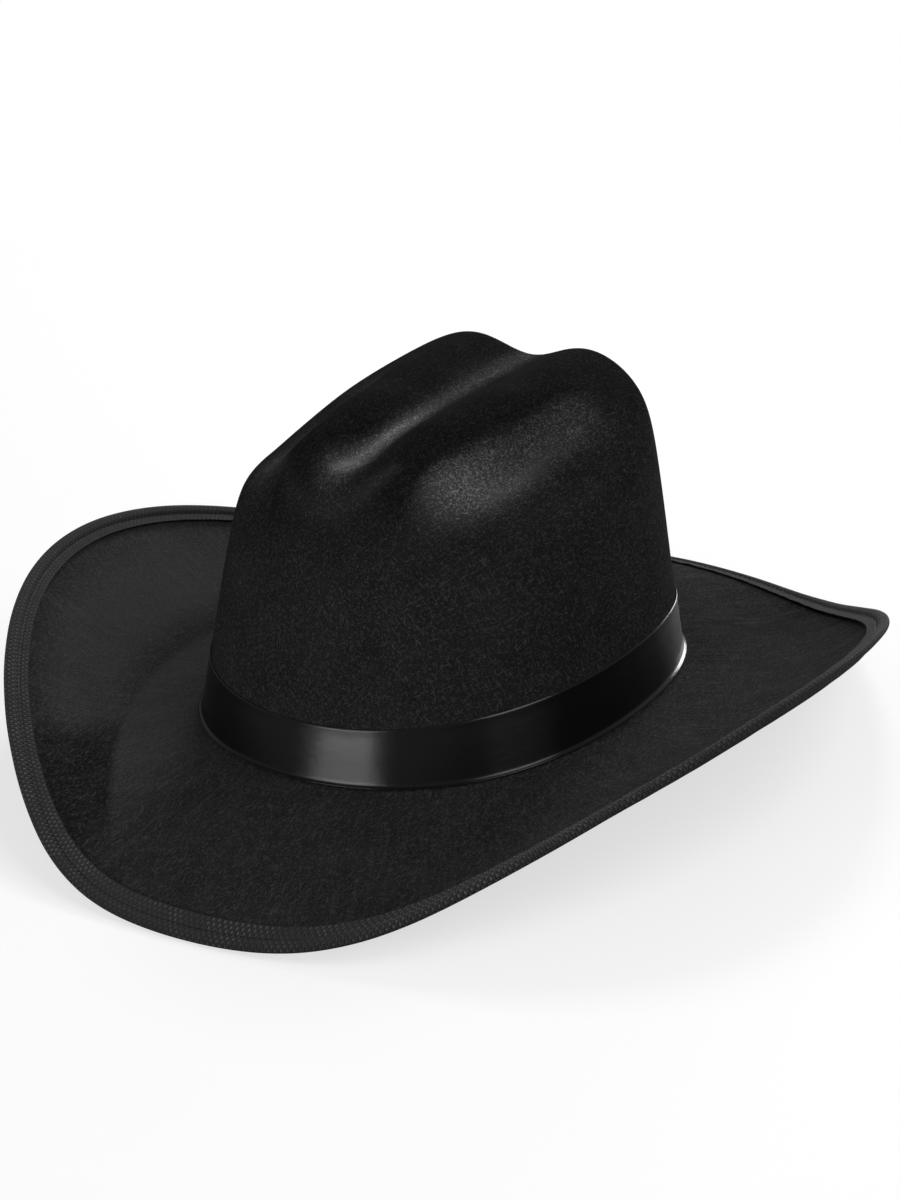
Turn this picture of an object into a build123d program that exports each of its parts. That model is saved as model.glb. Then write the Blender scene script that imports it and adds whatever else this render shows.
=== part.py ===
"""Cattleman cowboy hat in pressed felt: crown and brim in one piece, bound and wired brim edge,
satin ribbon round the crown, and a sweatband inside.

Millimetres.  +Z is up, -Y is the front of the hat, +X is the wearer's left.  The origin is the
centre of the head opening, and the hat stands on the front and back dips of its brim.

The hat is worked out level on its band line, and turned by rest_pitch at the end so that both
dips touch the ground.  `turn` is the angle round the hat, from +X through the back (+Y).
"""

from build123d import *
import os
import numpy as np
from math import comb

# ---- driving dimensions ---------------------------------------------------------------------

# head opening: the band line on the outside of the felt
band_width = 170.5
band_length = 205.0
band_squareness = 0.0226      # share of a third harmonic that squares the oval a little
band_lift = 4.4               # the band line rises this much at the wearer's temples

# crown: walls that lean in, a domed top, a centre crease and two front dents
crown_height = 124.0
wall_lean_side = 10.5         # degrees from upright
wall_lean_front = 12.0
wall_lean_back = 10.9
wall_lean_front_corner = 0.8  # added at 45 degrees between front and side
wall_lean_back_corner = -4.3
shoulder_side = 7.8           # softness of the turn from wall to top
shoulder_front = 10.8
shoulder_back = 10.6
sag_reach = 80.0              # the top drops top_sag this far forward or back
top_sag = 2.24
round_reach = 50.0            # and top_round this far to either side
top_round = 15.7
top_tilt_left = -0.04
top_tilt_back = 0.04
front_drop = 7.5              # the top falls this much more over its front third
front_softness = 22.0         # added to the shoulder over the middle of the front
crease_depth = 12.4
crease_half_width_front = 13.0
crease_half_width_back = 19.5
crease_swing = 3.5            # the crease's front end lies this far to the wearer's right
crease_front = -66.0          # where the crease fades out, forward and back
crease_back = 95.0
crease_fade_front = 16.0      # half the length of each fade
crease_fade_back = 25.0
dent_depth = 10.0
dent_offset = 58.0
dent_half_width = 24.0
dent_centre = -31.0
dent_half_length = 51.0
groove_depth = 7.0            # a narrower hollow along the inside of each dent
groove_offset = 41.0
groove_spread = 0.05          # how fast the two hollows part towards the back
groove_half_width = 10.0
groove_centre = -22.0
groove_half_length = 44.0

# felt
felt_thickness = 1.8
brim_fillet = 3.5             # reach of the rounded corner between wall and brim, up and out

# brim edge: waves round the hat, by their count per turn
edge_across_cosines = {1: 154.9, 3: 9.4, 5: 4.4}
edge_across_sines = {2: 7.4, 4: -2.0}
edge_along_cosines = {0: -1.8, 2: -2.9}
edge_along_sines = {1: 195.7, 3: 12.7}
edge_height_cosines = {0: 5.6, 2: 29.5, 4: 7.0}
edge_height_sines = {1: 2.7, 3: -4.2}

# brim: slopes of the felt at the crown and at the edge, upwards positive, in degrees
slope_in_side = -4.0
slope_in_front = -2.0
slope_in_back = -2.0
slope_out_side = 52.0
slope_out_front = -22.0
slope_out_back = -14.0
pull_in = 0.36                # how far each end slope reaches, as a share of the brim's width
pull_out = 0.42

# edge binding: a tape folded over a wire and the felt's cut edge
tape_width = 10.5
tape_thickness = 0.6
wire_radius = 0.6
ferrule_wall = 0.2
ferrule_length = 12.0
wire_end_gap = 1.0
seam_inset = 5.2              # stitch line to the edge of the brim; it closes the wire's channel
thread_radius = 0.2

# ribbon round the crown
ribbon_width = 24.0
ribbon_thickness = 0.4
ribbon_join = 135.0           # degrees round the hat
ribbon_lap = 12.0
tack_length = 2.6
tack_size = 0.4
tack_count = 4

# sweatband
sweat_width = 30.0
sweat_thickness = 0.8
sweat_gap = 0.8               # butt joint at the back
seam_tape_width = 12.0
seam_tape_thickness = 0.4
sweat_seam_height = 4.0

contact_gap = 0.05            # air left between pieces that lie on each other

rest_pitch = 1.96             # degrees the level band line tips back when the hat stands

# how the curved faces are divided
cap_half_width = 26.0         # oblong middle of the crown's top
cap_half_length = cap_half_width * band_length / band_width
wall_start = 0.18             # evens out the steps from the steep wall to the flat top
felt_cuts = [0, 0.35, 0.7, 1, 2, 3]

sectors = 8                   # faces round the hat
sector = 2 * np.pi / sectors
back = np.pi / 2              # turn at the back of the hat
small = 1e-4                  # step for slopes


# ---- faces from formulas --------------------------------------------------------------------

def nodes(degree):
    """Places from 0 to 1, closer together at both ends."""
    return (1 - np.cos(np.pi * np.arange(degree + 1) / degree)) / 2


def bernstein(degree):
    """Bernstein polynomials of one degree at its nodes."""
    t = nodes(degree)[:, None]
    k = np.arange(degree + 1)[None, :]
    weights = np.array([comb(degree, i) for i in range(degree + 1)])
    return weights * t**k * (1 - t) ** (degree - k)


def patch(surface, row_range, column_range, row_degree=8, column_degree=8):
    """Bezier face through surface(row, column).  Faces with a common edge share it exactly."""
    rows = row_range[0] + (row_range[1] - row_range[0]) * nodes(row_degree)
    columns = column_range[0] + (column_range[1] - column_range[0]) * nodes(column_degree)
    grid = surface(rows[:, None] + 0 * columns, columns[None, :] + 0 * rows[:, None])
    control = np.einsum("ij,jkc->ikc", np.linalg.inv(bernstein(row_degree)), grid)
    control = np.einsum("kj,ijc->ikc", np.linalg.inv(bernstein(column_degree)), control)
    return Face.make_bezier_surface([[tuple(map(float, p)) for p in row] for row in control])


def pairs(values):
    return list(zip(values, values[1:]))


def whole_turn(turns):
    return abs(turns[-1] - turns[0] - 2 * np.pi) < small


def slab(place, turns, across, depths):
    """Solid of constant section round the hat, or along part of it.

    place(turn, across, depth) gives its points.  The section runs over `across`, which may have
    cuts between its ends, and between two depths.
    """
    faces = []
    for span in pairs(turns):
        for depth in depths:
            faces += [patch(lambda t, a: place(t, a, depth), span, cut) for cut in pairs(across)]
        for side in (across[0], across[-1]):
            faces.append(patch(lambda t, d: place(t, side, d), span, depths))
    if not whole_turn(turns):
        for end in (turns[0], turns[-1]):
            faces += [patch(lambda a, d: place(end, a, d), cut, depths) for cut in pairs(across)]
    return closed(faces)


eighths = [i * np.pi / 4 for i in range(9)]
halves = [(0, 0.5), (0.5, 1)]


def disc(place, turn, radius):
    """Round end of a tube, spread between its quarter arcs and cut in four."""
    def arc(quarter, share):
        angle = (quarter + share) * np.pi / 2
        return stack(radius * np.cos(angle), radius * np.sin(angle), 0)

    def spread(a, b):
        a3 = a[..., None]
        b3 = b[..., None]
        sides = (1 - b3) * arc(0, a) + b3 * arc(2, 1 - a) + (1 - a3) * arc(3, 1 - b) + a3 * arc(1, b)
        corners = (1 - a3) * (1 - b3) * arc(0, 0) + a3 * (1 - b3) * arc(1, 0)
        corners = corners + a3 * b3 * arc(2, 0) + (1 - a3) * b3 * arc(3, 0)
        flat = sides - corners
        angle = np.arctan2(flat[..., 1], flat[..., 0])
        return place(turn, angle, np.hypot(flat[..., 0], flat[..., 1]))
    return [patch(spread, a, b) for a in halves for b in halves]


def tube(place, turns, radius, bore=0):
    """Round rod or tube; place(turn, angle, radius) gives its points."""
    faces = []
    for span in pairs(turns):
        for r in (radius, bore) if bore else (radius,):
            faces += [patch(lambda t, a: place(t, a, r), span, arc) for arc in pairs(eighths)]
    if not whole_turn(turns):
        for end in (turns[0], turns[-1]):
            if bore:
                faces += [patch(lambda a, r: place(end, a, r), arc, (bore, radius)) for arc in pairs(eighths)]
            else:
                faces += disc(place, end, radius)
    return closed(faces)


def unit(vector):
    return vector / np.linalg.norm(vector, axis=-1, keepdims=True)


def stack(x, y, z):
    return np.stack(np.broadcast_arrays(x, y, z), axis=-1)


def closed(faces):
    """One solid inside a closed set of faces, turned so that the hat stands on its brim."""
    solid = Solid(Shell(faces))
    assert solid.is_valid
    return solid.rotate(Axis.X, -rest_pitch)


# ---- crown ----------------------------------------------------------------------------------

def blend(low, high, value):
    t = np.clip((value - low) / (high - low), 0, 1)
    return t * t * (3 - 2 * t)


def band_oval(turn):
    """Plan of the band line."""
    scale = 1 / (1 - band_squareness)
    x = band_width / 2 * scale * (np.cos(turn) - band_squareness * np.cos(3 * turn))
    y = band_length / 2 * scale * (np.sin(turn) + band_squareness * np.sin(3 * turn))
    return x, y


def band_ray(turn):
    """Distance from the centre to the band line, and the direction."""
    x, y = band_oval(turn)
    reach = np.hypot(x, y)
    return reach, x / reach, y / reach


def bump(value, centre, half_width):
    return np.exp(-(((value - centre) / half_width) ** 2))


def crease(x, y):
    along = blend(crease_front - crease_fade_front, crease_front + crease_fade_front, y)
    along = along * (1 - blend(crease_back - crease_fade_back, crease_back + crease_fade_back, y))
    centre = -crease_swing * (1 - blend(-75, -15, y))
    widening = (crease_half_width_back - crease_half_width_front) * blend(-30, 60, y)
    return crease_depth * along * bump(x, centre, crease_half_width_front + widening)


def dents(x, y):
    """The two front dents, each with a narrower hollow along its inside."""
    dent = bump(np.abs(x), dent_offset, dent_half_width) * bump(y, dent_centre, dent_half_length)
    groove = bump(np.abs(x), groove_offset + groove_spread * y, groove_half_width)
    return dent_depth * dent + groove_depth * groove * bump(y, groove_centre, groove_half_length)


def top_height(x, y):
    """Top of the crown, with its crease and dents."""
    dome = crown_height + top_tilt_left * x + top_tilt_back * y - front_drop * (1 - blend(-85, -20, y))
    dome = dome - top_sag * (y / sag_reach) ** 2 - top_round * (x / round_reach) ** 2
    return dome - crease(x, y) - dents(x, y)


def by_direction(turn, side, front, rear):
    """A value at the sides, the front and the back, blended round the hat."""
    forward = np.maximum(-np.sin(turn), 0) ** 2
    backward = np.maximum(np.sin(turn), 0) ** 2
    return side * np.cos(turn) ** 2 + front * forward + rear * backward


def wall_lean(turn):
    """Lean of the wall from upright, in radians."""
    corner = np.where(np.sin(turn) < 0, wall_lean_front_corner, wall_lean_back_corner)
    lean = by_direction(turn, wall_lean_side, wall_lean_front, wall_lean_back)
    return np.radians(lean + corner * np.sin(2 * turn) ** 2)


def crown_point(turn, radius):
    """Outside of the crown at one angle, a distance from the centre."""
    reach, dx, dy = band_ray(turn)
    front = np.maximum(-np.sin(turn), 0) ** 4 * blend(0.35, 0.7, radius / reach)
    soft = by_direction(turn, shoulder_side, shoulder_front, shoulder_back) + front_softness * front
    wall = (reach - radius) / np.tan(wall_lean(turn)) + band_height(turn)
    top = top_height(radius * dx, radius * dy)
    height = -soft * np.logaddexp(-wall / soft, -top / soft)
    return stack(radius * dx, radius * dy, height)


def band_height(turn):
    return band_lift * np.cos(turn) ** 2


def cap_reach(turn):
    """Distance from the centre to the oblong middle of the crown's top."""
    _, dx, dy = band_ray(turn)
    side = cap_half_width / np.maximum(np.abs(dx), 1e-9)
    end = cap_half_length / np.maximum(np.abs(dy), 1e-9)
    return np.minimum(side, end)


def crown_radius(turn, up):
    """Distance from the centre, from the fillet (up = 0) to the oblong middle of the top (up = 1)."""
    bottom = band_ray(turn)[0] - brim_fillet * np.tan(wall_lean(turn))
    inward = wall_start * up + (1 - wall_start) * up**2
    return bottom - (bottom - cap_reach(turn)) * inward


def crown_ring(turn, up):
    """Outside of the crown over the same range."""
    return crown_point(turn, crown_radius(turn, up))


# ---- brim -----------------------------------------------------------------------------------

def harmonics(turn, cosines, sines):
    """Sum of a few waves round the hat."""
    waves = [size * np.cos(order * turn) for order, size in cosines.items()]
    waves += [size * np.sin(order * turn) for order, size in sines.items()]
    return sum(waves)


def brim_edge(turn):
    """Outermost line of the brim."""
    across = harmonics(turn, edge_across_cosines, edge_across_sines)
    along = harmonics(turn, edge_along_cosines, edge_along_sines)
    height = harmonics(turn, edge_height_cosines, edge_height_sines)
    return stack(across, along, height)


def brim_span(turn):
    """Band line point, edge point, and the width of the brim between them."""
    x, y = band_oval(turn)
    inner = stack(x, y, band_height(turn))
    outer = brim_edge(turn)
    return inner, outer, np.linalg.norm(outer - inner, axis=-1, keepdims=True)


def brim_point(turn, out):
    """Upper side of the brim, from the band line (out = 0) to the edge (out = 1)."""
    inner, outer, width = brim_span(turn)
    level = unit((outer - inner) * [1, 1, 0])
    slope_in = np.radians(by_direction(turn, slope_in_side, slope_in_front, slope_in_back))[..., None]
    slope_out = np.radians(by_direction(turn, slope_out_side, slope_out_front, slope_out_back))[..., None]
    upward = np.array([0, 0, 1])
    leave = inner + pull_in * width * (level * np.cos(slope_in) + upward * np.sin(slope_in))
    arrive = outer - pull_out * width * (level * np.cos(slope_out) + upward * np.sin(slope_out))
    b = np.asarray(out)[..., None]
    near = (1 - b) ** 3 * inner + 3 * b * (1 - b) ** 2 * leave
    return near + 3 * b**2 * (1 - b) * arrive + b**3 * outer


def brim_inset(turn, inset):
    """Place on the brim at a distance in from its edge, as brim_point's second parameter."""
    _, outer, width = brim_span(turn)
    edge_run = unit(brim_edge(turn + small) - brim_edge(turn - small))
    rib = unit(outer - brim_point(turn, 1 - small))
    squareness = np.linalg.norm(np.cross(rib, edge_run), axis=-1)
    out = 1 - inset / (3 * pull_out * width[..., 0] * squareness)
    for _ in range(6):
        reach = np.linalg.norm(outer - brim_point(turn, out), axis=-1) * squareness
        out = 1 - (1 - out) * inset / np.maximum(reach, 1e-9)
    return out


# ---- felt: one sheet, described by its upper and outer side ----------------------------------

nose_radius = felt_thickness / 2 + contact_gap          # inside of the tape's fold
nose_inset = nose_radius + tape_thickness               # centre of the fold, from the edge
felt_inset = nose_inset + wire_radius + ferrule_wall + 2 * contact_gap


def felt_upper(turn, way):
    """Way 0 to 1 is the crown from the top down, 1 to 2 the fillet, 2 to 3 the brim."""
    width = brim_span(turn)[2][..., 0]
    brim_start = brim_fillet / (3 * pull_in * width)
    brim_end = brim_inset(turn, felt_inset)
    crown = crown_ring(turn, 1 - np.minimum(way, 1))
    brim = brim_point(turn, brim_start + (brim_end - brim_start) * (np.maximum(way, 2) - 2))
    wall_foot = crown_ring(turn, 0 * turn)
    corner = brim_point(turn, 0 * turn)
    brim_foot = brim_point(turn, brim_start)
    t = np.clip(way - 1, 0, 1)[..., None]
    fillet = (1 - t) ** 2 * wall_foot + 2 * t * (1 - t) * corner + t**2 * brim_foot
    way = np.asarray(way)[..., None]
    return np.where(way <= 1, crown, np.where(way < 2, fillet, brim))


def square_to(surface, a, b):
    """Direction square to a surface: for turn and way, into the felt."""
    run_a = surface(a + small, b) - surface(a - small, b)
    run_b = surface(a, b + small) - surface(a, b - small)
    return unit(np.cross(run_a, run_b))


def felt_inward(turn, way):
    on_crown = square_to(crown_point, turn, crown_radius(turn, 1 - np.minimum(way, 1)))
    elsewhere = square_to(felt_upper, turn, way)
    return np.where(way[..., None] < 1 + small / 10, on_crown, elsewhere)


def in_felt(turn, way, depth):
    """Point at a depth below the felt's upper side; outside it the depth is negative."""
    return felt_upper(turn, way) + np.asarray(depth)[..., None] * felt_inward(turn, way)


def cap(depth):
    """Four faces of the oblong middle of the crown's top."""
    def top(x, y):
        return stack(x, y, top_height(x, y))

    def quarter_cap(right, rear):
        def surface(a, b):
            _, dx, dy = band_ray(np.pi / 2 - a * sector)
            x = right * cap_half_length * dx / dy
            _, dx, dy = band_ray(b * sector)
            y = rear * cap_half_width * dy / dx
            return top(x, y) - depth * square_to(top, x, y)
        return patch(surface, (0, 1), (0, 1))
    return [quarter_cap(right, rear) for right in (1, -1) for rear in (1, -1)]


all_round = [i * sector for i in range(sectors + 1)]


def felt_body():
    faces = []
    for depth in (0, felt_thickness):
        faces += cap(depth)
        for span in pairs(all_round):
            for cut in pairs(felt_cuts):
                faces.append(patch(lambda t, w: in_felt(t, w, depth), span, cut))
    for span in pairs(all_round):
        faces.append(patch(lambda t, d: in_felt(t, 3 + 0 * t, d), span, (0, felt_thickness)))
    return closed(faces)


# ---- edge of the brim ------------------------------------------------------------------------

def on_brim(turn, inset, height):
    """Point a distance in from the brim's edge and a height above the felt's upper side."""
    out = brim_inset(turn, inset)
    return brim_point(turn, out) - height[..., None] * square_to(brim_point, turn, out)


def in_tape(turn, way, layer):
    """Way 0 to 1 is the tape on top of the brim, 1 to 2 its fold, 2 to 3 the tape below."""
    radius = nose_radius + layer
    angle = np.pi * (1.5 - np.clip(way, 1, 2))
    flat = np.maximum(1 - way, 0) + np.maximum(way - 2, 0)
    inset = nose_inset + (tape_width - nose_inset) * flat - radius * np.cos(angle) * (flat == 0)
    return on_brim(turn, inset, radius * np.sin(angle) - felt_thickness / 2)


def edge_binding():
    return slab(in_tape, all_round, [0, 1, 2, 3], (0, tape_thickness))


def rod_at(inset, height):
    """Places in a round rod along the brim."""
    def place(turn, angle, radius):
        return on_brim(turn, inset + radius * np.cos(angle), height + radius * np.sin(angle))
    return place


back_run = np.linalg.norm(brim_edge(back + small) - brim_edge(back - small)) / (2 * small)
wire_place = rod_at(nose_inset, -felt_thickness / 2)


def brim_wire():
    gap = wire_end_gap / 2 / back_run
    turns = [back + gap] + [back + i * sector for i in range(1, sectors)] + [back + 2 * np.pi - gap]
    return tube(wire_place, turns, wire_radius)


def wire_ferrule():
    half = ferrule_length / 2 / back_run
    bore = wire_radius + contact_gap
    return tube(wire_place, [back - half, back + half], bore + ferrule_wall, bore)


seam_height = nose_radius + tape_thickness + contact_gap + thread_radius


def binding_needle_thread():
    return tube(rod_at(seam_inset, seam_height - felt_thickness / 2), all_round, thread_radius)


def binding_bobbin_thread():
    return tube(rod_at(seam_inset, -seam_height - felt_thickness / 2), all_round, thread_radius)


# ---- bands on the crown ----------------------------------------------------------------------

def on_wall(turn, climb, depth):
    """Point on the wall a climb above the fillet, or on the fillet where climb is negative."""
    run = crown_radius(turn, 0 * turn) - cap_reach(turn)
    share = np.maximum(climb, 0) * np.sin(wall_lean(turn)) / run
    up = (np.sqrt(wall_start**2 + 4 * (1 - wall_start) * share) - wall_start) / (2 * (1 - wall_start))
    return in_felt(turn, 1 - up - np.minimum(climb, 0) / (2 * brim_fillet), depth)


def hatband():
    """Ribbon whose last stretch climbs over its start and ends a lap later."""
    start = np.radians(ribbon_join)
    reach = band_ray(start)[0]
    ramp = 2 * ribbon_lap / reach
    finish = start + 2 * np.pi
    turns = [start + i * sector for i in range(sectors)]
    turns += [finish - ramp, finish, finish + ribbon_lap / reach]

    def place(turn, climb, depth):
        step = (ribbon_thickness + contact_gap) * blend(finish - ramp, finish, turn)
        return on_wall(turn, climb, -contact_gap - step - depth)
    return slab(place, turns, [-brim_fillet, 0, ribbon_width - brim_fillet], (0, ribbon_thickness))


def hatband_stitches():
    """Short stitches in a row down the ribbon's lapped end."""
    start = np.radians(ribbon_join)
    turn = np.array(start + (ribbon_lap - tack_size * 4) / band_ray(start)[0])
    outside = -3 * contact_gap - 2 * ribbon_thickness - tack_size / 2
    pitch = (ribbon_width - brim_fillet) / tack_count
    stitches = []
    for i in range(tack_count):
        climb = np.array((i + 0.5) * pitch)
        middle = on_wall(turn, climb, np.array(outside))
        upward = on_wall(turn, climb + 1, np.array(outside)) - middle
        inward = felt_inward(turn, np.array(0.9))
        place = Plane(Vector(*middle), x_dir=Vector(*upward), z_dir=Vector(*inward))
        stitches.append(place * Box(tack_length, tack_size, tack_size))
    return Compound(children=[stitch.rotate(Axis.X, -rest_pitch) for stitch in stitches])


def sweatband():
    gap = sweat_gap / band_length
    turns = [back + gap] + [back + i * sector for i in range(1, sectors)] + [back + 2 * np.pi - gap]
    outside = felt_thickness + contact_gap
    return slab(on_wall, turns, [0, sweat_width], (outside, outside + sweat_thickness))


sweat_inside = felt_thickness + 2 * contact_gap + sweat_thickness


def sweatband_seam_tape():
    half = seam_tape_width / band_length
    above_seam = sweat_seam_height + 4 * thread_radius
    climbs = [above_seam, sweat_width - sweat_seam_height / 2]
    depths = (sweat_inside, sweat_inside + seam_tape_thickness)
    return slab(on_wall, [back - half, back + half], climbs, depths)


def sweatband_thread():
    def place(turn, angle, radius):
        climb = sweat_seam_height + radius * np.cos(angle)
        return on_wall(turn, climb, sweat_inside + thread_radius + radius * np.sin(angle))
    return tube(place, all_round, thread_radius)


# ---- write -----------------------------------------------------------------------------------

pieces = [
    felt_body, edge_binding, brim_wire, wire_ferrule, binding_needle_thread, binding_bobbin_thread,
    hatband, hatband_stitches, sweatband, sweatband_seam_tape, sweatband_thread,
]

os.makedirs("parts", exist_ok=True)
for piece in pieces:
    export_step(piece(), f"parts/{piece.__name__}.step")
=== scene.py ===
import math

import bpy
import numpy as np
from mathutils import Matrix, Vector


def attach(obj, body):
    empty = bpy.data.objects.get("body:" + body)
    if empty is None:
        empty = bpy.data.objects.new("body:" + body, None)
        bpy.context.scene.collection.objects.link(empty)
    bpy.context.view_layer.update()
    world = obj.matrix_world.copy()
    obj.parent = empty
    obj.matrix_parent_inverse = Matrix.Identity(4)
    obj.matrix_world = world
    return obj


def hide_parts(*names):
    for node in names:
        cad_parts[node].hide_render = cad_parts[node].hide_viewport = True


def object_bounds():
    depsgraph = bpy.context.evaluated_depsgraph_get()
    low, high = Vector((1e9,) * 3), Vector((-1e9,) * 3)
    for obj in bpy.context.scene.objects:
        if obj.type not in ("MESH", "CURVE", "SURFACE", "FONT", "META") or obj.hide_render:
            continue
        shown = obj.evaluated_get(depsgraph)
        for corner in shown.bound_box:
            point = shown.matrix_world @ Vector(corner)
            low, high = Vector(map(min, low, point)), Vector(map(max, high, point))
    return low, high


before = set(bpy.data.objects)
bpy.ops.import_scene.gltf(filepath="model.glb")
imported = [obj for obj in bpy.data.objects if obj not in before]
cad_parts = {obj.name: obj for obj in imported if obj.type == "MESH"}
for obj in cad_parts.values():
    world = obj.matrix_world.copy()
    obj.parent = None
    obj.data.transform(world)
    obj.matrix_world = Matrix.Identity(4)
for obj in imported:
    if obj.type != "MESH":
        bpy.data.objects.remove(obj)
cad_low, cad_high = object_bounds()

# A black felt cattleman hat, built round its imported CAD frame.
#
# Shapes are worked out in millimetres on a level band line, as the hat is built, and then tipped
# and scaled into the frame: metres, +Z up, -Y the front of the hat, +X the wearer's left.
# `turn` is the angle round the hat from +X through the back, in radians. `way` runs from the
# middle of the crown (0) to its foot (1), round the corner (2) and out to the felt's cut edge (3).
# `out` runs across the brim from the band line (0) to the edge (1), and `inset` is a distance in
# from the edge. `climb` is a distance up the wall from the top of the corner.


# ---- dimensions, as the CAD pieces have them (millimetres, degrees) ---------------------------

MM = 0.001
REST_PITCH = math.radians(1.96)           # the band line tips back by this on a flat floor

BAND_WIDTH = 170.5
BAND_LENGTH = 205.0
BAND_SQUARENESS = 0.0226
BAND_LIFT = 4.4

CROWN_HEIGHT = 124.0
WALL_LEAN = (10.5, 12.0, 10.9)            # side, front, back
CORNER_LEAN = (0.8, -4.3)                 # front corners, back corners
SHOULDER = (7.8, 10.8, 10.6)              # how softly the wall turns into the top
SAG_REACH = 80.0
TOP_SAG = 2.24                            # the top falls by this at SAG_REACH, front and back
ROUND_REACH = 50.0
TOP_ROUND = 15.7                          # and by this at ROUND_REACH, to the sides
TOP_TILT = (-0.04, 0.04)                  # rise per millimetre to the left and to the back
FRONT_DROP = 7.5                          # the front of the top is this much lower
FRONT_DROP_RANGE = (-85.0, -20.0)
FRONT_SOFTNESS = 22.0                     # extra softness of the shoulder over the forehead
FRONT_SOFT_RANGE = (0.35, 0.7)            # as shares of the way from the middle to the band line
CREASE_DEPTH = 12.4
CREASE_HALF_WIDTH = (13.0, 19.5)          # front, back
CREASE_SPREAD_RANGE = (-30.0, 60.0)
CREASE_SWING = 3.5                        # its front end is this far to the wearer's right
CREASE_SWING_RANGE = (-75.0, -15.0)
CREASE_FRONT = -66.0
CREASE_BACK = 95.0
CREASE_FADE = (16.0, 25.0)
DENT_DEPTH = 10.0
DENT_OFFSET = 58.0
DENT_HALF_WIDTH = 24.0
DENT_CENTRE = -31.0
DENT_HALF_LENGTH = 51.0
GROOVE_DEPTH = 7.0                        # a narrower hollow along the inside of each dent
GROOVE_OFFSET = 41.0
GROOVE_SPREAD = 0.05
GROOVE_HALF_WIDTH = 10.0
GROOVE_CENTRE = -22.0
GROOVE_HALF_LENGTH = 44.0

FELT = 1.8
FILLET = 3.5
SLOW_RISE = 0.16                          # of the felt's surface, which pressing leaves uneven
MIDDLING_RISE = 0.09

# The brim's edge round the hat: cosine waves, then sine waves, by how many go round.
EDGE_ACROSS = ({1: 154.9, 3: 9.4, 5: 4.4}, {2: 7.4, 4: -2.0})
EDGE_ALONG = ({0: -1.8, 2: -2.9}, {1: 195.7, 3: 12.7})
EDGE_HEIGHT = ({0: 5.6, 2: 29.5, 4: 7.0}, {1: 2.7, 3: -4.2})
SLOPE_IN = (-4.0, -2.0, -2.0)             # of the brim at the band line: side, front, back
SLOPE_OUT = (52.0, -22.0, -14.0)          # and at its edge
PULL_IN = 0.36                            # how far each slope holds, as a share of the width
PULL_OUT = 0.42

TAPE_WIDTH = 10.5
TAPE = 0.6
WIRE = 0.6                                # radius
WIRE_ROOM = 0.2                           # between the wire and the felt's cut edge
SEAM_INSET = 5.2
THREAD = 0.2                              # radius
RIBBON_WIDTH = 24.0
RIBBON = 0.4
RIBBON_JOIN = math.radians(135.0)
RIBBON_LAP = 12.0
SWEAT_WIDTH = 30.0
SWEAT = 0.8
SEAM_TAPE = 0.4
SEAM_TAPE_WIDTH = 12.0
SWEAT_SEAM = 4.0
GAP = 0.05

NOSE = FELT / 2 + GAP                     # inside radius of the tape's fold
NOSE_INSET = NOSE + TAPE
FELT_INSET = NOSE_INSET + WIRE + WIRE_ROOM + 2 * GAP
QUARTER = math.pi / 2
BACK = QUARTER
STEP = 1e-4                               # for slopes, in whatever unit is stepped along


# ---- shape of the felt -----------------------------------------------------------------------

def unit(vector):
    return vector / np.linalg.norm(vector, axis=-1, keepdims=True)


def stack(x, y, z):
    return np.stack(np.broadcast_arrays(x, y, z), axis=-1)


def blend(low, high, value):
    t = np.clip((value - low) / (high - low), 0, 1)
    return t * t * (3 - 2 * t)


def bump(value, centre, half_width):
    return np.exp(-(((value - centre) / half_width) ** 2))


def zone(value, begin, whole_from, whole_to, end):
    """1 between the middle two places, fading out to 0 at the outer two."""
    return blend(begin, whole_from, value) * (1 - blend(whole_to, end, value))


def by_direction(turn, values):
    """A value at the sides, the front and the back, blended round the hat."""
    side, front, rear = values
    forward = np.maximum(-np.sin(turn), 0) ** 2
    backward = np.maximum(np.sin(turn), 0) ** 2
    return side * np.cos(turn) ** 2 + front * forward + rear * backward


def harmonics(turn, waves):
    cosines, sines = waves
    total = sum(size * np.cos(order * turn) for order, size in cosines.items())
    return total + sum(size * np.sin(order * turn) for order, size in sines.items())


def band_ray(turn):
    """Distance from the centre to the band line, and the direction."""
    scale = 1 / (1 - BAND_SQUARENESS)
    x = BAND_WIDTH / 2 * scale * (np.cos(turn) - BAND_SQUARENESS * np.cos(3 * turn))
    y = BAND_LENGTH / 2 * scale * (np.sin(turn) + BAND_SQUARENESS * np.sin(3 * turn))
    reach = np.hypot(x, y)
    return reach, x / reach, y / reach


def band_height(turn):
    return BAND_LIFT * np.cos(turn) ** 2


def crease_share(x, y, narrowing=1.0):
    """How deep the crease is at a place, as a share of its full depth."""
    along = blend(CREASE_FRONT - CREASE_FADE[0], CREASE_FRONT + CREASE_FADE[0], y)
    along = along * (1 - blend(CREASE_BACK - CREASE_FADE[1], CREASE_BACK + CREASE_FADE[1], y))
    centre = -CREASE_SWING * (1 - blend(*CREASE_SWING_RANGE, y))
    front, back = CREASE_HALF_WIDTH
    half_width = front + (back - front) * blend(*CREASE_SPREAD_RANGE, y)
    return along * bump(x, centre, narrowing * half_width)


def dent_share(x, y):
    return bump(np.abs(x), DENT_OFFSET, DENT_HALF_WIDTH) * bump(y, DENT_CENTRE, DENT_HALF_LENGTH)


def groove_share(x, y):
    centre = GROOVE_OFFSET + GROOVE_SPREAD * y
    return bump(np.abs(x), centre, GROOVE_HALF_WIDTH) * bump(y, GROOVE_CENTRE, GROOVE_HALF_LENGTH)


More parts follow.
